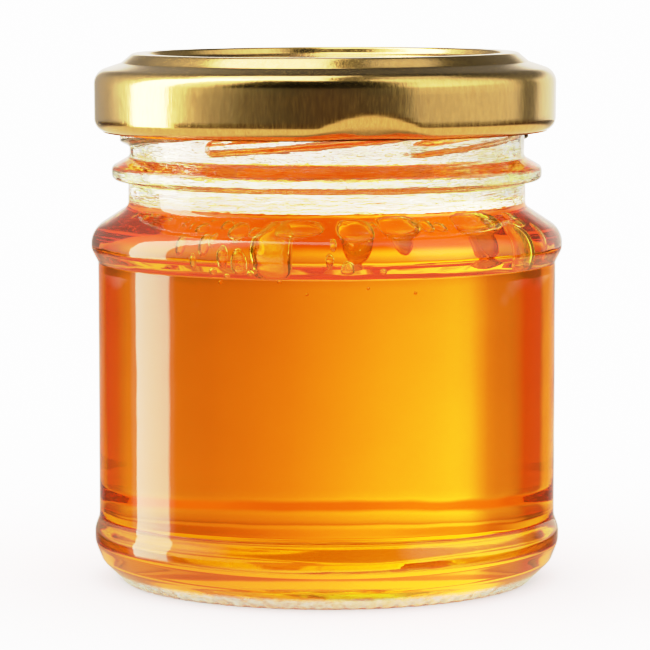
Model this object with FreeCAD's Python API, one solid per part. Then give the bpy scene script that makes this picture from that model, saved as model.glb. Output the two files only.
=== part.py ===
"""Small round honey jar with a twist-off lid, modelled in millimetres.

Frame: +Z up, origin at the centre of the base on the surface the jar stands on.
Nodes: jar (clear glass), honey (the filling, solid up to its level), lid (lacquered sheet metal).
"""
import FreeCAD, Part
import math
import os

V = FreeCAD.Vector

# ---------------------------------------------------------------- jar, outside
body_r = 32.53            # straight wall
foot_r = 33.18            # rounded heel above the base
shoulder_r = 33.47        # bulge at the top of the straight wall
neck_r = 28.20            # plain band between shoulder and bead ring
bead_r = 30.55            # transfer bead ring under the lid
finish_r = 28.00          # threaded wall above the bead ring
base_ring_r = 29.30       # corner of the standing ring before rounding
heel_r = 32.20            # knee of the heel, between the ring and the foot
heel_z = 2.90
ring_inner_r = 24.60      # inner edge of the standing ring
push_up = 1.70            # height of the hollow under the base, on the axis

foot_low_z = 5.40
foot_high_z = 7.20
body_low_z = 9.00
body_high_z = 45.30
shoulder_low_z = 47.20
shoulder_high_z = 49.76
neck_low_z = 53.21
bead_low_z = 56.70
bead_high_z = 60.20
rim_z = 74.60             # top of the glass

# ---------------------------------------------------------------- jar, inside
inner_r = 30.20           # bore of the body
mouth_r = 25.30           # bore of the neck and mouth
floor_z = 3.30            # inside floor at the corner
floor_dome = 0.40         # the inside floor rises this much to the axis
inner_shoulder_z = 48.75
inner_neck_z = 52.00
floor_round = 1.50         # rounding where the inside floor meets the wall
neck_round = 2.20         # rounding where the shoulder runs into the neck bore, below the fill level

# ---------------------------------------------------------------- honey
honey_z = 53.30           # fill level, just inside the neck

# ---------------------------------------------------------------- thread segments
thread_count = 6
thread_first_deg = 24.0   # azimuth of one lower end, from -Y towards +X
thread_span_deg = 70.0
thread_rise = 2.90
thread_z = 62.35          # centre height at the lower end
thread_out = 1.35         # stands proud of the finish wall
thread_foot = 2.30        # height where it leaves the wall
thread_crest = 1.00       # height of its flat crest
thread_sections = 9
thread_ramp = 0.07        # share of the length over which the lower end rises, blunt

# ---------------------------------------------------------------- lid
sheet = 0.25              # tinplate
lid_r = 32.77             # skirt at its top
skirt_low_r = 32.70       # skirt at its bottom corner
lid_top_z = 74.85         # crest of the raised ring
panel_z = 73.75           # sunken centre panel
panel_r = 24.70
crest_in_r = 25.40
crest_out_r = 27.30
crease_r = 28.90
crease_z = 73.50
lid_shoulder_z = 72.20
lid_low_z = 63.80
curl_r = 30.60            # inner side of the bottom curl
curl_top_z = 65.30

lug_count = 3
lug_deg = 10.9            # azimuth of one lug, from -Y towards +X
lug_span_deg = 26.0
lug_tip_r = 29.62


def turn(a, b, c):
    """Positive when the path a-b-c bends to the left."""
    return (b[0] - a[0]) * (c[1] - b[1]) - (b[1] - a[1]) * (c[0] - b[0])


def corner(a, b, c):
    """Start, middle and end of the arc of radius b[2] that rounds b between a and c."""
    u = V(a[0] - b[0], a[1] - b[1], 0)
    w = V(c[0] - b[0], c[1] - b[1], 0)
    u.normalize()
    w.normalize()
    half = math.acos(max(-1.0, min(1.0, u.dot(w)))) / 2
    reach = b[2] / math.tan(half)
    mid = u + w
    mid.normalize()
    centre = V(b[0], b[1], 0) + mid * (b[2] / math.sin(half))
    start = V(b[0], b[1], 0) + u * reach
    end = V(b[0], b[1], 0) + w * reach
    return start, centre - mid * b[2], end


def edges_of(path):
    """Lines and tangent arcs along an open path of (r, z, corner radius), drawn in the XZ plane."""
    def up(p):
        return V(p.x, 0, p.y)

    out = []
    here = V(path[0][0], path[0][1], 0)
    for i in range(1, len(path)):
        b = path[i]
        if i < len(path) - 1 and b[2] > 0:
            start, mid, end = corner(path[i - 1], b, path[i + 1])
            if (start - here).Length > 1e-6:
                out.append(Part.LineSegment(up(here), up(start)).toShape())
            out.append(Part.Arc(up(start), up(mid), up(end)).toShape())
            here = end
        else:
            there = V(b[0], b[1], 0)
            if (there - here).Length > 1e-6:
                out.append(Part.LineSegment(up(here), up(there)).toShape())
            here = there
    return out


def offset_right(path, t):
    """The same path moved to its right by t, with its corner radii kept concentric."""
    lines = []
    for a, b in zip(path, path[1:]):
        d = V(b[0] - a[0], b[1] - a[1], 0)
        d.normalize()
        n = V(d.y, -d.x, 0)
        lines.append((V(a[0], a[1], 0) + n * t, d, V(b[0], b[1], 0) + n * t))
    out = [(lines[0][0].x, lines[0][0].y, 0)]
    for i in range(1, len(path) - 1):
        p, d, _ = lines[i - 1]
        q, e, _ = lines[i]
        k = ((q.x - p.x) * e.y - (q.y - p.y) * e.x) / (d.x * e.y - d.y * e.x)
        x = p + d * k
        left = turn(path[i - 1], path[i], path[i + 1]) > 0
        out.append((x.x, x.y, path[i][2] + (t if left else -t) if path[i][2] else 0))
    out.append((lines[-1][2].x, lines[-1][2].y, 0))
    return out


def revolved(edges, degrees=360.0):
    wire = Part.Wire(Part.__sortEdges__(edges))
    shape = Part.Face(wire).revolve(V(0, 0, 0), V(0, 0, 1), degrees)
    if shape.Volume < 0:
        shape.reverse()
    return shape


def azimuth(shape, degrees):
    """Turns a shape made about +X so that it sits at this azimuth from -Y towards +X."""
    shape.rotate(V(0, 0, 0), V(0, 0, 1), degrees - 90.0)
    return shape


# ---------------------------------------------------------------- jar
outside = [
    (0, push_up, 0),
    (21.5, push_up - 0.35, 3.0),
    (ring_inner_r, 0, 1.0),
    (base_ring_r, 0, 1.0),
    (heel_r, heel_z, 2.0),
    (foot_r, foot_low_z, 3.5),
    (foot_r, foot_high_z, 3.0),
    (body_r, body_low_z, 3.0),
    (body_r, body_high_z, 0.8),
    (shoulder_r, shoulder_low_z, 2.0),
    (shoulder_r, shoulder_high_z, 3.4),
    (neck_r, neck_low_z, 1.2),
    (neck_r, bead_low_z, 0.5),
    (bead_r, bead_low_z + 0.25, 0.85),
    (bead_r, bead_high_z - 1.45, 0.85),
    (finish_r, bead_high_z, 0.8),
    (finish_r, rim_z - 1.40, 0.8),
    (finish_r - 0.80, rim_z, 0.6),
    (mouth_r + 0.35, rim_z, 0.35),
    (mouth_r, rim_z - 0.80, 0.8),
]
inside = [
    (mouth_r, inner_neck_z, neck_round),
    (inner_r, inner_shoulder_z, 3.0),
    (inner_r, floor_z, floor_round),
    (0, floor_z + floor_dome, 0),
]
axis = Part.LineSegment(V(0, 0, floor_z + floor_dome), V(0, 0, push_up)).toShape()
jar = revolved(edges_of(outside + inside) + [axis])


def thread_section(part):
    """Closed trapezoid across the thread at this fraction of its length, lower near the two ends."""
    ease = min(1.0, part / thread_ramp, (1.0 - part) / 0.25)
    ease = 0.12 + 0.88 * max(0.0, ease)
    out = thread_out * ease
    foot = thread_foot * (0.55 + 0.45 * ease) / 2
    crest = thread_crest * (0.6 + 0.4 * ease) / 2
    z = thread_z + thread_rise * part
    a = math.radians(thread_span_deg * part)
    c, s = math.cos(a), math.sin(a)
    pts = []
    for r, h in (
        (finish_r - 0.6, -foot),
        (finish_r, -foot),
        (finish_r + out, -crest),
        (finish_r + out, crest),
        (finish_r, foot),
        (finish_r - 0.6, foot),
    ):
        pts.append(V(r * c, r * s, z + h))
    return Part.makePolygon(pts + [pts[0]])


stops = [0.0, thread_ramp] + [
    thread_ramp + (1 - thread_ramp) * i / (thread_sections - 2) for i in range(1, thread_sections - 1)
]
segment = Part.makeLoft([thread_section(p) for p in stops], True, True)
threads = [
    azimuth(segment.copy(), thread_first_deg + i * 360.0 / thread_count)
    for i in range(thread_count)
]
jar = jar.fuse(threads).removeSplitter()

# ---------------------------------------------------------------- honey
filling = [
    (0, honey_z, 0),
    (mouth_r, honey_z, 0),
    (mouth_r, inner_neck_z, neck_round),
    (inner_r, inner_shoulder_z, 3.0),
    (inner_r, floor_z, floor_round),
    (0, floor_z + floor_dome, 0),
]
core = Part.LineSegment(V(0, 0, floor_z + floor_dome), V(0, 0, honey_z)).toShape()
honey = revolved(edges_of(filling) + [core])

# ---------------------------------------------------------------- lid
skin = [
    (0, panel_z, 0),
    (panel_r, panel_z, 0.8),
    (crest_in_r, lid_top_z, 0.6),
    (crest_out_r, lid_top_z, 1.0),
    (crease_r, crease_z, 0.5),
    (lid_r, lid_shoulder_z, 2.2),
    (skirt_low_r, lid_low_z, 1.9),
    (curl_r, lid_low_z, 0.9),
    (curl_r, curl_top_z, 0),
]
lining = offset_right(skin, sheet)
lid_edges = edges_of(skin) + edges_of(lining)
for a, b in ((skin[0], lining[0]), (skin[-1], lining[-1])):
    lid_edges.append(Part.LineSegment(V(a[0], 0, a[1]), V(b[0], 0, b[1])).toShape())
lid = revolved(lid_edges)

mid_wall = curl_r + sheet / 2
lug_profile = [
    (mid_wall, lid_low_z + 0.62, 0),
    (lug_tip_r, lid_low_z + 0.42, 0.2),
    (lug_tip_r, lid_low_z + 1.08, 0.2),
    (mid_wall, curl_top_z - 0.17, 0),
    (mid_wall, lid_low_z + 0.62, 0),
]
lug = revolved(edges_of(lug_profile), lug_span_deg)
lugs = [
    azimuth(lug.copy(), lug_deg - lug_span_deg / 2 + i * 360.0 / lug_count)
    for i in range(lug_count)
]
lid = lid.fuse(lugs).removeSplitter()

os.makedirs("parts", exist_ok=True)
for name, shape in (("jar", jar), ("honey", honey), ("lid", lid)):
    if shape.ShapeType != "Solid" and len(shape.Solids) == 1:
        shape = shape.Solids[0]
    shape.exportStep("parts/%s.step" % name)
    b = shape.optimalBoundingBox(False)
    print(
        "%s: valid %s, volume %.1f mm3, %d faces, x %.2f..%.2f, z %.2f..%.2f"
        % (name, shape.isValid(), shape.Volume, len(shape.Faces), b.XMin, b.XMax, b.ZMin, b.ZMax)
    )
for one, other in ((jar, honey), (jar, lid), (honey, lid)):
    print("overlap %.3f mm3" % one.common(other).Volume)
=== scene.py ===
import math

import bpy
import numpy as np
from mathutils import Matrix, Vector


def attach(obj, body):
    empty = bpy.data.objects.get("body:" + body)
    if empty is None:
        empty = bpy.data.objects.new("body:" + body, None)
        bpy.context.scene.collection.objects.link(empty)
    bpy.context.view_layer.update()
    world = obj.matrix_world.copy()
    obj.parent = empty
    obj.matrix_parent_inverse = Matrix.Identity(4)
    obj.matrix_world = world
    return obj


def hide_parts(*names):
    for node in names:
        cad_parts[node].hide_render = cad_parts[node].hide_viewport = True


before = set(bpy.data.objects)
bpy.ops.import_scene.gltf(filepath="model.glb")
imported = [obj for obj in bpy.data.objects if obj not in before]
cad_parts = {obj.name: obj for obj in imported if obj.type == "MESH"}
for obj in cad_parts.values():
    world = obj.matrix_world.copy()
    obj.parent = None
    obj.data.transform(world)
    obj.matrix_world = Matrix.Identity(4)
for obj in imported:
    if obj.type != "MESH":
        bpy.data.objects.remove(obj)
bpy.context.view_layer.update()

MM = 0.001
rng = np.random.default_rng(7)

# ------------------------------------------------------------------ sizes, in millimetres, as in the CAD
BODY_R, FOOT_R, SHOULDER_R = 32.53, 33.18, 33.47
NECK_R, BEAD_R, FINISH_R = 28.20, 30.55, 28.00
RIM_Z, HONEY_Z = 74.60, 53.30
INNER_R, MOUTH_R, FLOOR_Z, FLOOR_DOME = 30.20, 25.30, 3.30, 0.40
OVERLAP = 0.12            # how far the honey reaches into the glass
IOR_GLASS, IOR_HONEY = 1.52, 1.484

OUTSIDE = [
    (0, 1.70, 0), (21.5, 1.35, 3.0), (24.60, 0, 1.0), (29.30, 0, 1.0),
    (32.20, 2.90, 2.0), (FOOT_R, 5.40, 3.5), (FOOT_R, 7.20, 3.0), (BODY_R, 9.00, 3.0), (BODY_R, 45.30, 0.8),
    (SHOULDER_R, 47.20, 2.0), (SHOULDER_R, 49.76, 3.4), (NECK_R, 53.21, 1.2),
    (NECK_R, 56.70, 0.5), (BEAD_R, 56.95, 0.85), (BEAD_R, 58.75, 0.85), (FINISH_R, 60.20, 0.8),
    (FINISH_R, 73.20, 0.8), (27.20, RIM_Z, 0.6), (25.65, RIM_Z, 0.35), (MOUTH_R, 73.80, 0.8),
]
INSIDE = [
    (MOUTH_R, 52.00, 2.20), (INNER_R, 48.75, 3.0), (INNER_R, FLOOR_Z, 1.5),
    (0, FLOOR_Z + FLOOR_DOME, 0),
]
SKIN = [
    (0, 73.75, 0), (24.70, 73.75, 0.8), (25.40, 74.85, 0.6), (27.30, 74.85, 1.0),
    (28.90, 73.50, 0.5), (32.77, 72.20, 2.2), (32.70, 63.80, 1.9), (30.60, 63.80, 0.9),
    (30.60, 65.30, 0),
]
SHEET = 0.25


# ------------------------------------------------------------------ profiles
def rounded(path, turn_step=7.0, line_step=1.0, fine=None):
    """Points along an open path of (r, z, corner radius). fine is (z low, z high, step) for long lines there."""
    pts = []

    def add_line(a, b):
        n = max(1, int(math.ceil(np.linalg.norm(b - a) / line_step)))
        if fine and min(a[1], b[1]) >= fine[0] - 1 and max(a[1], b[1]) <= fine[1] + 1 and abs(a[0] - b[0]) < 0.1:
            n = max(n, int(math.ceil(np.linalg.norm(b - a) / fine[2])))
        for k in range(1, n + 1):
            pts.append(a + (b - a) * k / n)

    p = [np.array(q[:2], float) for q in path]
    pts.append(p[0])
    here = p[0]
    for i in range(1, len(path)):
        radius = path[i][2] if len(path[i]) > 2 else 0
        if i < len(path) - 1 and radius > 0:
            u = p[i - 1] - p[i]
            w = p[i + 1] - p[i]
            u /= np.linalg.norm(u)
            w /= np.linalg.norm(w)
            half = math.acos(max(-1, min(1, float(u @ w)))) / 2
            reach = radius / math.tan(half)
            m = u + w
            m /= np.linalg.norm(m)
            centre = p[i] + m * radius / math.sin(half)
            start, end = p[i] + u * reach, p[i] + w * reach
            if np.linalg.norm(start - here) > 1e-6:
                add_line(here, start)
            a0 = math.atan2(*(start - centre)[::-1])
            a1 = math.atan2(*(end - centre)[::-1])
            d = (a1 - a0 + math.pi) % (2 * math.pi) - math.pi
            n = max(2, int(math.ceil(abs(math.degrees(d)) / turn_step)), int(math.ceil(abs(d) * radius / line_step)))
            for k in range(1, n + 1):
                t = a0 + d * k / n
                pts.append(centre + radius * np.array([math.cos(t), math.sin(t)]))
            here = end
        else:
            if np.linalg.norm(p[i] - here) > 1e-6:
                add_line(here, p[i])
            here = p[i]
    return np.array(pts)


def side_normals(pts):
    """Unit normals to the right of a polyline."""
    d = np.diff(pts, axis=0)
    length = np.linalg.norm(d, axis=1)
    d = d / length[:, None]
    t = np.empty_like(pts)
    t[0], t[-1] = d[0], d[-1]
    h0, h1 = length[:-1, None], length[1:, None]
    t[1:-1] = (h0 * d[1:] + h1 * d[:-1]) / (h0 + h1)
    t /= np.linalg.norm(t, axis=1)[:, None]
    return np.stack([t[:, 1], -t[:, 0]], 1)


def mesh_from(name, verts, faces, normals=None, attributes=None):
    me = bpy.data.meshes.new(name)
    me.from_pydata(verts.tolist(), [], faces)
    me.polygons.foreach_set("use_smooth", np.ones(len(me.polygons), bool))
    if attributes:
        for key, values in attributes.items():
            me.attributes.new(key, "FLOAT", "POINT").data.foreach_set("value", np.asarray(values, np.float32))
    me.update()
    if normals is not None:
        me.normals_split_custom_set_from_vertices(normals.tolist())
    ob = bpy.data.objects.new(name, me)
    bpy.context.scene.collection.objects.link(ob)
    return ob


def revolve_grid(profile, n, change=None):
    """Positions (rows, n, 3) in metres for a profile turned about Z. Azimuth runs from -Y towards +X.
    change(az, r, z) gives new (r, z) arrays for the whole grid."""
    az = np.linspace(0, 2 * np.pi, n, endpoint=False)
    r = np.repeat(profile[:, 0][:, None], n, 1)
    z = np.repeat(profile[:, 1][:, None], n, 1)
    a = np.repeat(az[None, :], len(profile), 0)
    if change is not None:
        r, z = change(a, r, z)
    return np.stack([r * np.sin(a), -r * np.cos(a), z], -1) * MM


def grid_normals(grid):
    """Smooth normals of a revolved grid, from differences along and around it."""
    d = np.diff(grid, axis=0)
    length = np.linalg.norm(d, axis=2, keepdims=True) + 1e-12
    d = d / length
    t = np.empty_like(grid)
    t[0], t[-1] = d[0], d[-1]
    t[1:-1] = (length[:-1] * d[1:] + length[1:] * d[:-1]) / (length[:-1] + length[1:])
    u = np.roll(grid, -1, 1) - np.roll(grid, 1, 1)
    nrm = np.cross(u, t)
    nrm /= np.linalg.norm(nrm, axis=2, keepdims=True) + 1e-18
    return nrm


def closed_revolve(name, profile, n, change=None, attribute=None, extra=None):
    """A closed solid of revolution whose profile starts and ends on the axis."""
    grid = revolve_grid(profile, n, change)
    ring = grid[1:-1]
    rows = ring.shape[0]
    normals = grid_normals(ring)
    first = grid[0].mean(0)
    last = grid[-1].mean(0)
    verts = np.concatenate([ring.reshape(-1, 3), [first, last]])
    i = np.arange(rows - 1)[:, None]
    j = np.arange(n)[None, :]
    k = (j + 1) % n
    quads = np.stack([i * n + j, i * n + k, (i + 1) * n + k, (i + 1) * n + j], -1).reshape(-1, 4)
    faces = quads.tolist()
    a, b = rows * n, rows * n + 1
    jj = np.arange(n)
    kk = (jj + 1) % n
    faces += np.stack([np.full(n, a), kk, jj], 1).tolist()
    faces += np.stack([(rows - 1) * n + jj, (rows - 1) * n + kk, np.full(n, b)], 1).tolist()
    # orientation: outward
    q = verts[quads]
    vol = 0.0
    for t in ((0, 1, 2), (0, 2, 3)):
        vol += np.einsum("ij,ij->i", q[:, t[0]], np.cross(q[:, t[1]], q[:, t[2]])).sum() / 6
    nrm = np.concatenate([normals.reshape(-1, 3), [[0, 0, 0], [0, 0, 0]]])
    if vol < 0:
        faces = [f[::-1] for f in faces]
        face_sign = -1
    else:
        face_sign = 1
    # a grid normal is cross(around, along); compare it with a face's own normal
    f0 = faces[len(quads) // 2]
    p = verts[f0]
    own = np.cross(p[1] - p[0], p[2] - p[0])
    mid = nrm[f0[0]]
    if own @ mid < 0:
        nrm = -nrm
    nrm[a] = np.array([0, 0, 1.0]) * np.sign(nrm[0][2] if abs(nrm[0][2]) > 0.3 else 1)
    nrm[b] = np.array([0, 0, 1.0]) * np.sign(nrm[(rows - 1) * n][2] if abs(nrm[(rows - 1) * n][2]) > 0.3 else 1)
    values = None
    if attribute is not None:
        values = np.concatenate([np.repeat(attribute[1:-1], n), [attribute[0], attribute[-1]]])
    if extra is not None:
        ev, ef, en, ea = extra
        base = len(verts)
        verts = np.concatenate([verts, ev])
        faces = faces + [[x + base for x in f] for f in ef]
        nrm = np.concatenate([nrm, en])
        values = np.concatenate([values, ea])
    return mesh_from(name, verts, faces, nrm, {"ior": values} if values is not None else None)


def smooth(x, lo, hi):
    t = np.clip((x - lo) / (hi - lo), 0, 1)
    return t * t * (3 - 2 * t)


def waves(a, z, seed, count, lengths, size):
    """A sum of soft waves round the wall (whole numbers round, so it closes), in mm."""
    g = np.random.default_rng(seed)
    out = np.zeros_like(a)
    for _ in range(count):
        length = math.exp(g.uniform(math.log(lengths[0]), math.log(lengths[1])))
        turn = g.uniform(0, np.pi)
        around = int(round(2 * np.pi * 32 / length * math.cos(turn)))
        up = 2 * np.pi / length * math.sin(turn)
        out += np.cos(around * a + up * z + g.uniform(0, 2 * np.pi)) * size * length / lengths[1]
    return out / math.sqrt(count)


# ------------------------------------------------------------------ glass
THREADS, THREAD_FIRST, THREAD_SPAN = 6, 24.0, 70.0


def thread_height(a, z):
    """How far the thread segments stand out at azimuth a and height z."""
    deg = np.degrees(a)
    out = np.zeros_like(a)
    for k in range(THREADS):
        part = ((deg - THREAD_FIRST - 60.0 * k + 180.0) % 360.0 - 180.0) / THREAD_SPAN
        late = 0.17 if k == 1 else 0.0    # this segment's lower end is worn back
        zc = 62.35 + 2.90 * np.clip(part, -0.1, 1.1)
        end = smooth(part, -0.012 + late, 0.055 + late) * (1 - smooth(part, 0.72, 1.0))
        half = 1.22 * (0.72 + 0.28 * end)
        across = 1 - smooth(np.abs(z - zc), 0.30 * (0.7 + 0.3 * end), half)
        out = np.maximum(out, 1.35 * end * across)
    return out


def shape_glass(a, r, z):
    rows = np.arange(r.shape[0])[:, None]
    outer = (rows < OUTER_ROWS)
    wall = smooth(z, 5.5, 10.0) * outer
    r = r + wall * waves(a, z, 3, 26, (5.0, 22.0), 0.020)
    r = r + wall * smooth(z, 51.0, 53.5) * waves(a, z, 11, 20, (3.0, 12.0), 0.035) * 1.0
    r = r + wall * smooth(z, 44.5, 47.5) * (1 - smooth(z, 51.5, 53.0)) * waves(a, z, 5, 22, (2.5, 9.0), 0.030)
    neck = outer & (r > 27.5) & (z > 60.2) & (z < 73.4)
    r = r + np.where(neck, thread_height(a, z), 0.0)
    inner = (rows >= OUTER_ROWS) & (z > 54.0)
    r = r + inner * smooth(z, 54.0, 56.0) * (1 - smooth(z, 72.0, 73.5)) * waves(a, z, 21, 20, (3.5, 16.0), 0.05)
    # knurled standing ring: short slanting marks
    band = outer * smooth(r, 25.6, 26.6) * (1 - smooth(r, 29.2, 29.9)) * (z < 1.2)
    marks = smooth(0.5 - 0.5 * np.cos(80 * (a + 0.014 * (r - 27.0))), 0.35, 0.95)
    z = z + band * 0.16 * marks
    # the base's slow unevenness
    under = outer * (r < 24.6) * (z < 3.0)
    z = z + under * smooth(r, 1.0, 8.0) * (1 - smooth(r, 22.5, 24.6)) * 0.06 * np.cos(3 * a + 0.21 * r)
    return r, z


outside = rounded(OUTSIDE + [INSIDE[0]], 6.5, 1.1, (60.2, 73.2, 0.20))
# the glass line is one path from the axis below, over the rim, to the axis inside
whole = rounded(OUTSIDE + INSIDE, 6.5, 1.1, (60.2, 73.2, 0.20))
OUTER_ROWS = int(np.argmax(whole[:, 1])) + 4
# the straight inner neck needs no fine rows
keep = np.ones(len(whole), bool)
inner_neck = [i for i in range(OUTER_ROWS + 3, len(whole)) if abs(whole[i, 0] - MOUTH_R) < 1e-6 and 54.2 < whole[i, 1] < 73.0]
for n_, i in enumerate(inner_neck):
    if n_ % 4:
        keep[i] = False
whole = whole[keep]
wet = np.where((np.arange(len(whole)) >= OUTER_ROWS) & (whole[:, 1] < HONEY_Z - 0.02), IOR_GLASS / IOR_HONEY, IOR_GLASS)
glass = closed_revolve("jar_glass", whole, 400, shape_glass, wet)


# ------------------------------------------------------------------ honey with its bubbles
def fill_profile():
    """The filling, reaching OVERLAP into the glass, with a slight rise of its level at the wall."""
    level = []
    for r in np.concatenate([np.linspace(0, 20, 21), np.linspace(20.5, MOUTH_R + OVERLAP, 24)]):
        lift = 0.42 * math.exp(-(MOUTH_R - min(r, MOUTH_R)) / 0.9)
        level.append((r, HONEY_Z - 0.12 + lift))
    low = [(MOUTH_R + OVERLAP, level[-1][1], 0), (MOUTH_R + OVERLAP, 52.00, 2.20 - OVERLAP),
           (INNER_R + OVERLAP, 48.75 + 0.02, 3.0 + OVERLAP), (INNER_R + OVERLAP, FLOOR_Z - OVERLAP, 1.5 + OVERLAP),
           (0, FLOOR_Z + FLOOR_DOME - OVERLAP, 0)]
    side = rounded(low, 6.5, 1.4)
    return np.array(level), side


level, side = fill_profile()
inner_line = rounded([(MOUTH_R, 54.5, 0)] + INSIDE, 3.0, 0.25)


def wall_radius(z):
    """Radius of the inner wall at height z (mm) above the floor corner."""
    sel = inner_line[(inner_line[:, 1] > 12)]
    order = np.argsort(sel[:, 1])
    return float(np.interp(z, sel[order, 1], sel[order, 0]))


def bubble(azimuth, z, rx, rz, depth, seed, gap=0.25, tilt=0.0):
    """One cavity against the inner wall: half sizes along the wall rx, up the wall rz, and into the honey depth."""
    g = np.random.default_rng(seed)
    nu, nv = (28, 18) if rx > 1.2 else (16, 10)
    u = np.linspace(0, 2 * np.pi, nu, endpoint=False)
    v = np.linspace(0, np.pi, nv + 1)[1:-1]
    vv, uu = np.meshgrid(v, u, indexing="ij")
    x = np.sin(vv) * np.cos(uu)
    y = np.sin(vv) * np.sin(uu)
    w = np.cos(vv)
    pts = np.stack([x, y, w], -1).reshape(-1, 3)
    pts = np.concatenate([pts, [[0, 0, 1], [0, 0, -1]]])
    lump = np.zeros(len(pts))
    for _ in range(5):
        k = g.normal(size=3) * 1.5
        lump += 0.05 * np.cos(pts @ k + g.uniform(0, 6.28))
    pts = pts * (1 + lump)[:, None]
    c, s = math.cos(tilt), math.sin(tilt)
    local = np.stack([pts[:, 0] * rx, pts[:, 1] * depth, pts[:, 2] * rz], 1)
    local = np.stack([local[:, 0] * c - local[:, 2] * s, local[:, 1], local[:, 0] * s + local[:, 2] * c], 1)
    # follow the wall: place by arc length round it and by the wall's own radius at each height
    centre_r = wall_radius(z) - depth - gap
    zz = z + local[:, 2]
    bend = np.array([wall_radius(q) for q in zz]) - wall_radius(z)
    rr = centre_r - local[:, 1] + np.clip(bend, -3.5, 0.6) * 0.85
    top = HONEY_Z - 0.55
    zz = np.where(zz > top, top - (zz - top) * 0.05, zz)
    rr = np.minimum(rr, np.array([wall_radius(q) for q in zz]) - gap * 0.6)
    aa = math.radians(azimuth) + local[:, 0] / centre_r
    verts = np.stack([rr * np.sin(aa), -rr * np.cos(aa), zz], 1) * MM
    faces = []
    rows = nv - 1
    for i in range(rows - 1):
        for j in range(nu):
            k = (j + 1) % nu
            faces.append([i * nu + j, (i + 1) * nu + j, (i + 1) * nu + k, i * nu + k])
    a, b = rows * nu, rows * nu + 1
    for j in range(nu):
        k = (j + 1) % nu
        faces.append([a, j, k])
        faces.append([b, (rows - 1) * nu + k, (rows - 1) * nu + j])
    # outward from the honey means into the cavity: make the closed shell inside out
    vol = 0.0
    for f in faces:
        for t in range(1, len(f) - 1):
            vol += np.dot(verts[f[0]] - verts[0], np.cross(verts[f[t]] - verts[0], verts[f[t + 1]] - verts[0]))
    if vol > 0:
        faces = [f[::-1] for f in faces]
    nrm = np.zeros_like(verts)
    for f in faces:
        n_ = np.cross(verts[f[1]] - verts[f[0]], verts[f[2]] - verts[f[0]])
        for q in f:
            nrm[q] += n_
    nrm /= np.linalg.norm(nrm, axis=1, keepdims=True) + 1e-18
    return verts, faces, nrm


# azimuth, height, half width, half height, half depth (mm)
LARGE = [
    (-14.6, 48.30, 3.05, 2.95, 1.80), (-8.0, 50.35, 3.40, 1.75, 1.70),
    (8.4, 49.80, 2.50, 2.45, 1.70), (21.0, 50.40, 3.05, 2.60, 1.90),
    (49.5, 50.10, 4.70, 2.90, 2.00), (61.5, 47.60, 2.50, 2.15, 1.60),
]
SMALL = [
    (-24.8, 49.8, 1.45, 1.35, 0.9), (-23.0, 47.4, 1.15, 1.15, 0.8), (-29.6, 50.6, 1.0, 0.8, 0.6), (-33.2, 48.6, 0.9, 0.9, 0.6), (-36.6, 50.0, 1.2, 0.8, 0.6), (-40.5, 48.4, 0.8, 0.7, 0.5), (-30.2, 46.6, 0.6, 0.6, 0.5), (-26.2, 45.9, 0.5, 0.5, 0.4), (-27.6, 47.9, 0.85, 0.8, 0.7),
    (-20.0, 49.9, 1.00, 0.8, 0.7), (-19.6, 46.5, 0.55, 0.55, 0.5), (0.7, 47.7, 0.60, 0.60, 0.5),
    (1.6, 48.9, 0.45, 0.45, 0.4), (5.2, 47.0, 0.85, 0.60, 0.6), (13.4, 50.9, 0.55, 0.5, 0.5),
    (29.8, 50.4, 1.10, 1.25, 0.9), (26.6, 51.5, 0.5, 0.4, 0.4), (33.5, 50.2, 0.9, 0.8, 0.7),
    (14.4, 46.8, 0.45, 0.42, 0.4), (-31.0, 49.0, 0.6, 0.6, 0.5), (66.0, 49.8, 1.5, 1.6, 1.1),
    (72.0, 48.3, 0.8, 0.8, 0.6), (-36.0, 47.5, 0.55, 0.5, 0.4), (-12.0, 44.9, 0.32, 0.32, 0.3),
    (10.5, 44.0, 0.26, 0.26, 0.26), (23.0, 43.2, 0.24, 0.24, 0.24), (-28.0, 44.6, 0.30, 0.30, 0.3),
    (-5.0, 43.2, 0.22, 0.22, 0.22),
]


def all_bubbles():
    placed = []
    for b in LARGE + SMALL:
        placed.append(b)
    g = np.random.default_rng(41)
    # the foam line high under the shoulder on the left front, and loose groups round the rest of the ring
    for _ in range(46):
        placed_one = (g.uniform(-74, -28), g.uniform(50.2, 51.9), g.uniform(0.28, 0.75), g.uniform(0.24, 0.5), 0.35)
        if fits(placed, placed_one):
            placed.append(placed_one)
    for _ in range(190):
        size = 0.30 + 2.0 * g.uniform() ** 3.2
        az = g.uniform(84, 276)
        z = 50.9 - size * 0.9 - abs(g.normal()) * 1.1
        one = (az, z, size * g.uniform(0.95, 1.35), size * g.uniform(0.75, 1.05), size * 0.7)
        if z > 45 and fits(placed, one):
            placed.append(one)
    return placed


def fits(placed, one):
    for b in placed:
        da = ((one[0] - b[0] + 180) % 360 - 180) * math.pi / 180 * 28.5
        dz = one[1] - b[1]
        if abs(da) < 9 and math.hypot(da / (one[2] + b[2] + 0.15), dz / (one[3] + b[3] + 0.15)) < 1.0:
            return False
    return True


ev, ef, en = [], [], []
count = 0
for n_, b in enumerate(all_bubbles()):
    v_, f_, m_ = bubble(b[0], b[1], b[2], b[3], b[4], 100 + n_, gap=0.22 if b[2] > 1.2 else 0.30)
    ev.append(v_)
    ef += [[x + count for x in f] for f in f_]
    en.append(m_)
    count += len(v_)
ev, en = np.concatenate(ev), np.concatenate(en)

line = np.concatenate([level, side[1:]])
top_rows = len(level)
# the level is air on honey; the sides lie in the glass, where the glass's own wall does the bending
ior = np.where(np.arange(len(line)) < top_rows - 2, IOR_HONEY, 1.0)
honey = closed_revolve(
    "honey_fill", line, 300, None, ior, (ev, ef, en, np.full(len(ev), IOR_HONEY))
)


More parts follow.
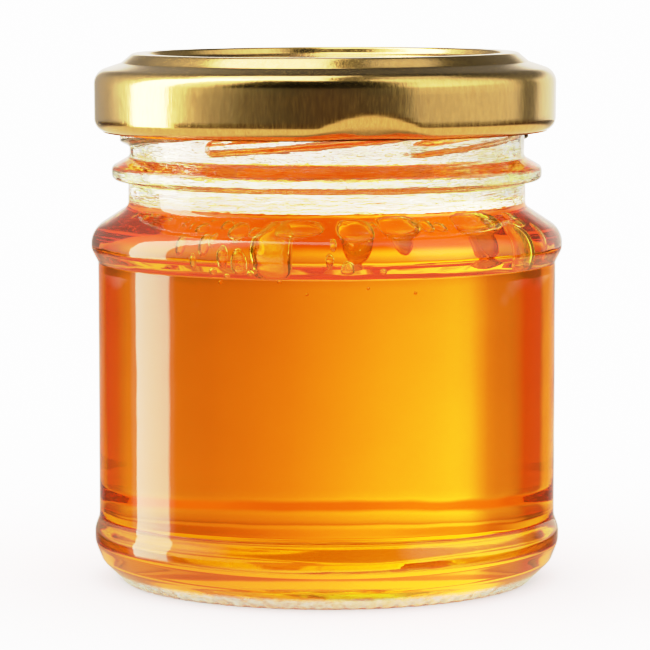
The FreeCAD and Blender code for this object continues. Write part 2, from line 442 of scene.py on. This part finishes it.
# ------------------------------------------------------------------ lid
LUGS, LUG_DEG = 3, 10.9


def lug_window(a):
    deg = np.degrees(a)
    d = (deg - LUG_DEG + 60.0) % 120.0 - 60.0
    return d


def shape_lid(a, r, z):
    d = lug_window(a)
    w = np.cos(np.clip(d / 19.0, -1, 1) * np.pi / 2) ** 1.1
    # the skirt's foot is pressed in over each lug
    low = smooth(67.1 - 3.1 * (1 - w) - z, -0.05, 2.6) * (z < 68) * (r > 29.0)
    r = r - 0.95 * w * low
    # the lug: the curl reaches further in
    curl = (z < 65.6) * (r < 31.2) * smooth(31.4 - r, 0, 0.8)
    r = r - 0.55 * smooth(w, 0.35, 0.75) * curl
    # slow unevenness of the sheet
    skirt = smooth(r, 31.5, 32.4) * (z < 72.2)
    r = r + skirt * waves(a, z, 31, 18, (7.0, 30.0), 0.030)
    top = smooth(z, 73.3, 73.6) * (1 - smooth(r, 23.5, 24.6))
    z = z + top * smooth(r, 1.0, 12.0) * 0.05 * np.cos(2 * a + 0.1 * r)
    # the end of the sheet sits a touch to the left and higher at the right, as screwed on
    return r, z


skin = rounded(SKIN, 7.0, 0.75)
inner = skin + side_normals(skin) * SHEET
inner[0] = (0, SKIN[0][1] - SHEET)
lid_line = np.concatenate([skin, inner[::-1]])
lid = closed_revolve("lid_metal", lid_line, 480, shape_lid)
co = np.empty(len(lid.data.vertices) * 3)
lid.data.vertices.foreach_get("co", co)
co = co.reshape(-1, 3)
tilt = math.radians(0.22)
co = co + np.stack([np.zeros(len(co)), np.zeros(len(co)), co[:, 0] * math.sin(tilt)], 1)
co[:, 0] -= 0.25 * MM
lid.data.vertices.foreach_set("co", co.astype(np.float32).ravel())
lid.data.update()


# ------------------------------------------------------------------ materials
def new_material(name):
    m = bpy.data.materials.new(name)
    m.use_nodes = True
    nt = m.node_tree
    for n in list(nt.nodes):
        nt.nodes.remove(n)
    out = nt.nodes.new("ShaderNodeOutputMaterial")
    bsdf = nt.nodes.new("ShaderNodeBsdfPrincipled")
    nt.links.new(bsdf.outputs[0], out.inputs["Surface"])
    return m, nt, out, bsdf


def coords(nt, scale):
    tc = nt.nodes.new("ShaderNodeTexCoord")
    mp = nt.nodes.new("ShaderNodeMapping")
    mp.inputs["Scale"].default_value = scale
    nt.links.new(tc.outputs["Object"], mp.inputs["Vector"])
    return mp.outputs["Vector"]


def noise(nt, vector, scale, detail=3.0, rough=0.5):
    n = nt.nodes.new("ShaderNodeTexNoise")
    n.inputs["Scale"].default_value = scale
    n.inputs["Detail"].default_value = detail
    n.inputs["Roughness"].default_value = rough
    nt.links.new(vector, n.inputs["Vector"])
    return n.outputs["Fac"]


def math_node(nt, op, a, b=None, clamp=False):
    n = nt.nodes.new("ShaderNodeMath")
    n.operation = op
    n.use_clamp = clamp
    for k, x in enumerate((a, b)):
        if x is None:
            continue
        if isinstance(x, (int, float)):
            n.inputs[k].default_value = x
        else:
            nt.links.new(x, n.inputs[k])
    return n.outputs[0]


def remap(nt, x, a, b, c, d, kind="LINEAR"):
    n = nt.nodes.new("ShaderNodeMapRange")
    n.interpolation_type = kind
    n.clamp = True
    nt.links.new(x, n.inputs["Value"])
    for key, val in (("From Min", a), ("From Max", b), ("To Min", c), ("To Max", d)):
        n.inputs[key].default_value = val
    return n.outputs["Result"]


def bump(nt, height, distance, strength=1.0, normal=None):
    n = nt.nodes.new("ShaderNodeBump")
    n.inputs["Strength"].default_value = strength
    n.inputs["Distance"].default_value = distance
    nt.links.new(height, n.inputs["Height"])
    if normal is not None:
        nt.links.new(normal, n.inputs["Normal"])
    return n.outputs["Normal"]


def absorb(nt, out, color, density):
    v = nt.nodes.new("ShaderNodeVolumeAbsorption")
    v.inputs["Color"].default_value = (*color, 1)
    v.inputs["Density"].default_value = density
    nt.links.new(v.outputs[0], out.inputs["Volume"])


def ior_by_place(nt, bsdf, value):
    bsdf.inputs["IOR"].default_value = value
    at = nt.nodes.new("ShaderNodeAttribute")
    at.attribute_name = "ior"
    nt.links.new(at.outputs["Fac"], bsdf.inputs["IOR"])


# clear glass, faintly green where it is thick
m_glass, nt, out, b = new_material("clear_glass")
b.inputs["Base Color"].default_value = (1, 1, 1, 1)
b.inputs["Roughness"].default_value = 0.0
b.inputs["Transmission Weight"].default_value = 1.0
ior_by_place(nt, b, IOR_GLASS)
skin_noise = noise(nt, coords(nt, (1, 1, 0.45)), 330.0, 2.0)
b_n = bump(nt, skin_noise, 0.00002, 0.35)
# pressed ripples run round the neck and shoulder, and fade out down the straight wall
tc_g = nt.nodes.new("ShaderNodeTexCoord")
sep_g = nt.nodes.new("ShaderNodeSeparateXYZ")
nt.links.new(tc_g.outputs["Object"], sep_g.inputs[0])
foot = remap(nt, sep_g.outputs["Z"], 0.0009, 0.0019, 1.0, 0.0, "SMOOTHSTEP")
grain = noise(nt, coords(nt, (1, 1, 1)), 900.0, 2.0, 0.6)
nt.links.new(math_node(nt, "SUBTRACT", 1.0, math_node(nt, "MULTIPLY", foot, remap(nt, grain, 0.3, 0.7, 0.35, 0.75))), b.inputs["Transmission Weight"])
foot_mix = nt.nodes.new("ShaderNodeMix")
foot_mix.data_type = "RGBA"
foot_mix.inputs["A"].default_value = (1, 1, 1, 1)
foot_mix.inputs["B"].default_value = (0.50, 0.62, 0.57, 1)
nt.links.new(foot, foot_mix.inputs["Factor"])
# painted shade: faint grey streaks tint the glass round the neck, darkening what shows through it there
upper = remap(nt, sep_g.outputs["Z"], 0.0542, 0.0556, 0.0, 1.0, "SMOOTHSTEP")
fine = noise(nt, coords(nt, (0.10, 0.10, 1.0)), 1500.0, 3.0, 0.65)
neck_shade_mix = nt.nodes.new("ShaderNodeMix")
neck_shade_mix.data_type = "RGBA"
neck_shade_mix.inputs["B"].default_value = (0.74, 0.72, 0.66, 1)
nt.links.new(foot_mix.outputs["Result"], neck_shade_mix.inputs["A"])
nt.links.new(math_node(nt, "MULTIPLY", upper, remap(nt, fine, 0.42, 0.62, 0.10, 0.85)), neck_shade_mix.inputs["Factor"])
nt.links.new(neck_shade_mix.outputs["Result"], b.inputs["Base Color"])
high = remap(nt, sep_g.outputs["Z"], 0.0505, 0.0545, 0.0, 1.0, "SMOOTHSTEP")
ripple = noise(nt, coords(nt, (0.12, 0.12, 1.0)), 900.0, 3.0, 0.6)
b_r = bump(nt, math_node(nt, "MULTIPLY", ripple, high), 0.00017, 1.0, b_n)
nt.links.new(b_r, b.inputs["Normal"])
absorb(nt, out, (0.20, 0.70, 0.55), 8.0)

# amber honey
m_honey, nt, out, b = new_material("honey")
b.inputs["Base Color"].default_value = (0.98, 0.74, 0.30, 1)
# painted glow: a faint amber emission at every crossing of the honey's surfaces, standing in for light scattered inside
# it, which only adds up along the long ways through it
b.inputs["Emission Color"].default_value = (1.0, 0.62, 0.01, 1)
b.inputs["Emission Strength"].default_value = 0.030
b.inputs["Roughness"].default_value = 0.0
b.inputs["Transmission Weight"].default_value = 1.0
ior_by_place(nt, b, IOR_HONEY)
absorb(nt, out, (0.948, 0.685, 0.16), 98.0)

# gold lacquer over tinplate, rolled and slightly wrinkled
m_lid, nt, out, b = new_material("gold_lacquer")
b.inputs["Metallic"].default_value = 1.0
b.inputs["Specular Tint"].default_value = (1.0, 0.92, 0.78, 1)
b.inputs["Coat Weight"].default_value = 1.0
b.inputs["Coat Roughness"].default_value = 0.10
b.inputs["Coat IOR"].default_value = 1.6
streak = noise(nt, coords(nt, (1, 1, 0.16)), 4600.0, 2.0, 0.5)
streak_wide = noise(nt, coords(nt, (1, 1, 0.25)), 1500.0, 2.0, 0.5)
cloud = noise(nt, coords(nt, (1, 1, 1)), 90.0, 3.0, 0.6)
tone = math_node(nt, "ADD", math_node(nt, "MULTIPLY", streak, 0.55), math_node(nt, "MULTIPLY", streak_wide, 0.45))
mix = nt.nodes.new("ShaderNodeMix")
mix.data_type = "RGBA"
mix.inputs["A"].default_value = (0.75, 0.47, 0.115, 1)
mix.inputs["B"].default_value = (0.89, 0.60, 0.165, 1)
nt.links.new(remap(nt, tone, 0.35, 0.65, 0.0, 1.0), mix.inputs["Factor"])
nt.links.new(mix.outputs["Result"], b.inputs["Base Color"])
rough = math_node(nt, "ADD", remap(nt, streak, 0.3, 0.7, 0.14, 0.22), remap(nt, cloud, 0.3, 0.7, -0.02, 0.02))
nt.links.new(rough, b.inputs["Roughness"])
n1 = bump(nt, streak, 0.000012, 0.5)
n2 = bump(nt, streak_wide, 0.00003, 0.5, n1)
nt.links.new(n2, b.inputs["Normal"])

for ob, mat in ((glass, m_glass), (honey, m_honey), (lid, m_lid)):
    ob.data.materials.append(mat)
for name, mat in (("jar", m_glass), ("honey", m_honey), ("lid", m_lid)):
    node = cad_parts[name]
    for s in node.material_slots:
        s.material = mat

for ob, node, slot in ((glass, "jar", "clear_glass"), (honey, "honey", "honey"), (lid, "lid", "gold_lacquer")):
    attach(ob, "root")
    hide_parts(node)


# ------------------------------------------------------------------ floor
def make_floor():
    half = 40.0
    me = bpy.data.meshes.new("floor")
    me.from_pydata([(-half, -half, 0), (half, -half, 0), (half, half, 0), (-half, half, 0)], [], [(0, 1, 2, 3)])
    ob = bpy.data.objects.new("floor", me)
    bpy.context.scene.collection.objects.link(ob)
    ob.location.z = -0.00002
    m, nt, out, b = new_material("floor_white")
    b.inputs["Base Color"].default_value = (0.90, 0.90, 0.90, 1)
    b.inputs["Roughness"].default_value = 1.0
    b.inputs["Specular IOR Level"].default_value = 0.0
    me.materials.append(m)
    ob.visible_glossy = False
    ob.visible_transmission = False
    return ob


make_floor()

# ------------------------------------------------------------------ studio, painted by direction in the world
# Azimuth is measured from straight behind the jar (+Y) towards +X, elevation from the horizon.
world = bpy.data.worlds.new("studio")
bpy.context.scene.world = world
world.use_nodes = True
wt = world.node_tree
for n in list(wt.nodes):
    wt.nodes.remove(n)
w_out = wt.nodes.new("ShaderNodeOutputWorld")
bg = wt.nodes.new("ShaderNodeBackground")
wt.links.new(bg.outputs[0], w_out.inputs["Surface"])
tc = wt.nodes.new("ShaderNodeTexCoord")
sep = wt.nodes.new("ShaderNodeSeparateXYZ")
wt.links.new(tc.outputs["Generated"], sep.inputs[0])
AZ = math_node(wt, "MULTIPLY", math_node(wt, "ARCTAN2", sep.outputs["X"], sep.outputs["Y"]), 180 / math.pi)
EL = math_node(wt, "MULTIPLY", math_node(wt, "ARCSINE", sep.outputs["Z"]), 180 / math.pi)


def ramp(nt, x, lo, hi, stops):
    """Straight lines between (x, value) stops."""
    top = max(v for _, v in stops)
    f = remap(nt, x, lo, hi, 0.0, 1.0)
    n = nt.nodes.new("ShaderNodeValToRGB")
    cr = n.color_ramp
    cr.interpolation = "LINEAR"
    while len(cr.elements) > 1:
        cr.elements.remove(cr.elements[-1])
    first = True
    for px, v in stops:
        pos = (px - lo) / (hi - lo)
        if first:
            e = cr.elements[0]
            e.position = pos
            first = False
        else:
            e = cr.elements.new(pos)
        e.color = (v / top, v / top, v / top, 1)
    nt.links.new(f, n.inputs[0])
    bw = nt.nodes.new("ShaderNodeSeparateColor")
    nt.links.new(n.outputs[0], bw.inputs[0])
    return math_node(nt, "MULTIPLY", bw.outputs[0], top)


def window(nt, x, a0, a1, soft0, soft1):
    up = remap(nt, x, a0 - soft0, a0 + soft0, 0, 1, "SMOOTHSTEP")
    down = remap(nt, x, a1 - soft1, a1 + soft1, 1, 0, "SMOOTHSTEP")
    return math_node(nt, "MULTIPLY", up, down)


def blend_value(nt, f, a, b):
    n = nt.nodes.new("ShaderNodeMix")
    n.data_type = "FLOAT"
    nt.links.new(f, n.inputs[0])
    for k, x in ((2, a), (3, b)):
        if isinstance(x, (int, float)):
            n.inputs[k].default_value = x
        else:
            nt.links.new(x, n.inputs[k])
    return n.outputs[0]


# what the metal and the outer faces of the glass mirror
g_mid = ramp(wt, AZ, -180, 180, [
    (-180, 0.06), (-160, 0.08), (-140, 0.20), (-130, 0.42), (-118, 0.60), (-110, 1.0), (-104, 1.5), (-66, 1.3), (-62, 1.05),
    (-56, 0.95), (-44, 0.48), (-16, 0.42), (-7, 1.5), (8, 1.5), (20, 1.1), (46, 1.0), (54, 0.18), (64, 0.18), (72, 0.90),
    (134, 0.86), (142, 0.14), (160, 0.07), (180, 0.06)])
g_wall = ramp(wt, AZ, -180, 180, [
    (-180, 0.02), (-125, 0.02), (-99, 0.03), (-97, 0.8), (-67, 0.8), (-64, 0.04), (-30, 0.05), (-16, 0.5), (-6, 1.4),
    (6, 1.4), (16, 0.6), (32, 0.08), (64, 0.02), (90, 0.04), (125, 0.03), (180, 0.02)])
# a narrow ring of the studio between the low walls and the ceiling: bright cards at the sides, dark behind the camera
g_30 = ramp(wt, AZ, -180, 180, [
    (-180, 0.005), (-130, 0.01), (-120, 0.9), (-104, 2.0), (-79, 1.8), (-60, 1.0), (-44, 0.6), (-24, 0.25), (-9, 0.30), (0, 0.20),
    (9, 0.16), (30, 0.15), (58, 0.2), (72, 1.0), (124, 1.9), (134, 1.4), (144, 0.03), (180, 0.01)])
g_45 = ramp(wt, AZ, -180, 180, [
    (-180, 0.005), (-131, 0.01), (-121, 1.3), (-100, 2.6), (-79, 2.2), (-66, 1.5), (-44, 0.6), (-12, 0.06), (0, 0.03), (15, 0.03),
    (40, 0.08), (58, 0.15), (72, 0.8), (118, 1.6), (132, 0.9), (142, 0.02), (180, 0.01)])
g_top = ramp(wt, AZ, -180, 180, [
    (-180, 3.2), (-150, 3.6), (-90, 3.6), (-30, 3.2), (-2, 3.0), (4, 2.2), (9, 0.12), (30, 0.12), (42, 0.8), (90, 0.9),
    (132, 0.8), (142, 0.10), (172, 0.10), (176, 2.6), (180, 3.2)])
g_cap = ramp(wt, AZ, -180, 180, [
    (-180, 3.4), (-90, 3.8), (-6, 3.2), (6, 1.8), (14, 0.10), (166, 0.10), (173, 1.8), (180, 3.4)])
g = blend_value(wt, remap(wt, EL, -5.1, -4.7, 0, 1, "SMOOTHSTEP"), g_wall, g_mid)
g = blend_value(wt, remap(wt, EL, 9, 22, 0, 1, "SMOOTHSTEP"), g, g_30)
g = blend_value(wt, remap(wt, EL, 29, 44, 0, 1, "LINEAR"), g, g_45)
lift = ramp(wt, AZ, -180, 180, [(-180, 0), (-110, 0), (-70, 18), (70, 18), (110, 0), (180, 0)])
g = blend_value(wt, remap(wt, math_node(wt, "ADD", EL, lift), 70, 77, 0, 1, "SMOOTHSTEP"), g, g_top)
g = blend_value(wt, remap(wt, EL, 72, 79, 0, 1, "SMOOTHSTEP"), g, g_cap)
win = math_node(wt, "MULTIPLY", window(wt, AZ, -95, -69.5, 1.2, 1.0), window(wt, EL, -42, 70, 4, 6))
GLOSSY = math_node(wt, "ADD", g, math_node(wt, "MULTIPLY", win, 7.5))
LOW = remap(wt, EL, -17, -10.5, 1, 0, "SMOOTHSTEP")
DEEP = remap(wt, EL, -78, -55, 1, 0, "SMOOTHSTEP")

# what shines through the honey and glass
t_mid = ramp(wt, AZ, -180, 180, [
    (-180, 2.4), (-125, 2.4), (-90, 2.4), (-78, 2.6), (-71, 2.8), (-67, 2.4), (-61, 1.6), (-57, 0.30), (-46, 0.27), (-42, 0.70),
    (-38, 0.95), (-34, 1.05), (-31, 1.35), (-28, 2.35), (-25.5, 3.4), (-22, 3.9), (-15, 3.5), (-9, 3.2), (-4, 2.7),
    (1, 2.15), (6, 1.6), (12, 1.22), (20, 0.92), (26, 0.90), (34, 1.1), (46, 1.1), (54, 0.42), (64, 0.28),
    (69, 1.2), (84, 1.8), (120, 2.4), (180, 2.4)])
tilt_gain = math_node(wt, "ADD", remap(wt, EL, -11.0, -3.0, 1.55, 0.65), remap(wt, EL, -3.6, -0.5, 0.0, 0.9, "SMOOTHSTEP"))
t_low = ramp(wt, AZ, -180, 180, [
    (-180, 3.8), (-100, 3.8), (-60, 2.6), (-45, 2.0), (-30, 3.4), (-15, 3.2), (-5, 1.7), (8, 1.5), (20, 2.3), (40, 2.3), (60, 2.6),
    (110, 3.8), (180, 3.8)])
t_up = ramp(wt, AZ, -180, 180, [
    (-180, 3.4), (-120, 3.4), (-90, 3.0), (-60, 2.8), (-40, 4.4), (-25, 7.5), (-10, 6.2), (0, 4.6), (20, 2.8), (60, 2.6),
    (90, 3.0), (130, 3.4), (180, 3.4)])
t = math_node(wt, "MULTIPLY", t_mid, tilt_gain)
t = blend_value(wt, remap(wt, EL, -24, -12, 1, 0, "SMOOTHSTEP"), t, t_low)
t = blend_value(wt, remap(wt, EL, 3.5, 9, 0, 1, "SMOOTHSTEP"), t, t_up)
# the far edge of the table, a dim golden line just over the horizon
EDGE = window(wt, EL, 2.0, 5.5, 1.0, 1.5)
t = math_node(wt, "MULTIPLY", t, math_node(wt, "SUBTRACT", 1.0, math_node(wt, "MULTIPLY", window(wt, EL, 17.0, 30.0, 3.0, 4.0), 0.72)))
TRANS = math_node(wt, "MULTIPLY", t, math_node(wt, "SUBTRACT", 1.0, math_node(wt, "MULTIPLY", EDGE, 0.42)))


def tinted(nt, x, gains, floors):
    """A colour of x times gains, never under floors: the dim parts of the room are warm."""
    n = nt.nodes.new("ShaderNodeCombineColor")
    for k in range(3):
        y = math_node(nt, "MULTIPLY", x, gains[k])
        nt.links.new(math_node(nt, "MAXIMUM", y, floors[k]), n.inputs[k])
    return n.outputs[0]


def blend_colour(nt, f, a, b):
    n = nt.nodes.new("ShaderNodeMix")
    n.data_type = "RGBA"
    nt.links.new(f, n.inputs["Factor"])
    for key, x in (("A", a), ("B", b)):
        if isinstance(x, (int, float)):
            n.inputs[key].default_value = (x, x, x, 1)
        elif isinstance(x, tuple):
            n.inputs[key].default_value = (*x, 1)
        else:
            nt.links.new(x, n.inputs[key])
    return n.outputs["Result"]


lp = wt.nodes.new("ShaderNodeLightPath")
gc = blend_colour(wt, remap(wt, EL, 8, 18, 0, 1, "SMOOTHSTEP"),
                  tinted(wt, GLOSSY, (1.0, 0.93, 0.80), (0.08, 0.04, 0.012)), tinted(wt, GLOSSY, (1.0, 0.93, 0.80), (0.006, 0.003, 0.001)))
gc = blend_colour(wt, LOW, gc, (0.92, 0.76, 0.50))
gc = blend_colour(wt, DEEP, gc, (0.28, 0.20, 0.12))
c = blend_colour(wt, lp.outputs["Is Glossy Ray"], 3.2, gc)
warm = tinted(wt, TRANS, (1.0, 1.0, 0.92), (0.86, 0.26, 0.05))
plain = tinted(wt, TRANS, (1.0, 0.98, 0.93), (0.30, 0.20, 0.11))
tc_ = blend_colour(wt, remap(wt, EL, -5.4, -4.8, 1, 0, "SMOOTHSTEP"), plain, warm)
tc_ = blend_colour(wt, math_node(wt, "MULTIPLY", EDGE, 0.70), tc_, tinted(wt, TRANS, (1.0, 0.66, 0.16), (0.55, 0.24, 0.03)))
tc_ = blend_colour(wt, remap(wt, EL, -24, -12, 1, 0, "SMOOTHSTEP"), tc_, tinted(wt, TRANS, (1.0, 0.42, 0.05), (0.5, 0.2, 0.02)))
tc_ = blend_colour(wt, remap(wt, EL, 5, 9, 0, 1, "SMOOTHSTEP"), tc_, tinted(wt, TRANS, (0.96, 1.0, 0.12), (0.5, 0.3, 0.03)))
c = blend_colour(wt, lp.outputs["Is Transmission Ray"], c, tc_)
c = blend_colour(wt, lp.outputs["Is Camera Ray"], c, 3.0)
wt.links.new(c, bg.inputs["Color"])
bg.inputs["Strength"].default_value = 1.0
world.cycles.sampling_method = "NONE"

# ------------------------------------------------------------------ camera and look
scene = bpy.context.scene
cam_data = bpy.data.cameras.new("camera")
cam = bpy.data.objects.new("camera", cam_data)
scene.collection.objects.link(cam)
cam.location = (-0.00025, -0.540, 0.09083)
cam.rotation_euler = (math.radians(90 - 5.8), 0, 0)
cam_data.sensor_width = 36.0
cam_data.lens = 210.6
cam_data.clip_start, cam_data.clip_end = 0.05, 100.0
scene.camera = cam

scene.cycles.max_bounces = 32
scene.cycles.transmission_bounces = 32
scene.cycles.glossy_bounces = 12
scene.cycles.transparent_max_bounces = 16
scene.cycles.sample_clamp_indirect = 8.0
scene.cycles.blur_glossy = 0.2

vs = scene.view_settings
vs.view_transform = "Standard"
vs.look = "None"
vs.use_curve_mapping = True
cm = vs.curve_mapping
TOP = 3.5
cm.white_level = (TOP, TOP, TOP)
cm.black_level = (0, 0, 0)
curve = cm.curves[3]
tone_points = [(0, 0), (0.3, 0.3), (0.55, 0.56), (0.69, 0.675), (1.0, 0.775), (1.38, 0.85), (2.0, 0.925), (2.86, 0.985), (3.5, 1.0)]
curve.points[0].location = (0, 0)
curve.points[-1].location = (1, 1)
for x, y in tone_points[1:-1]:
    curve.points.new(x / TOP, y)
cm.update()
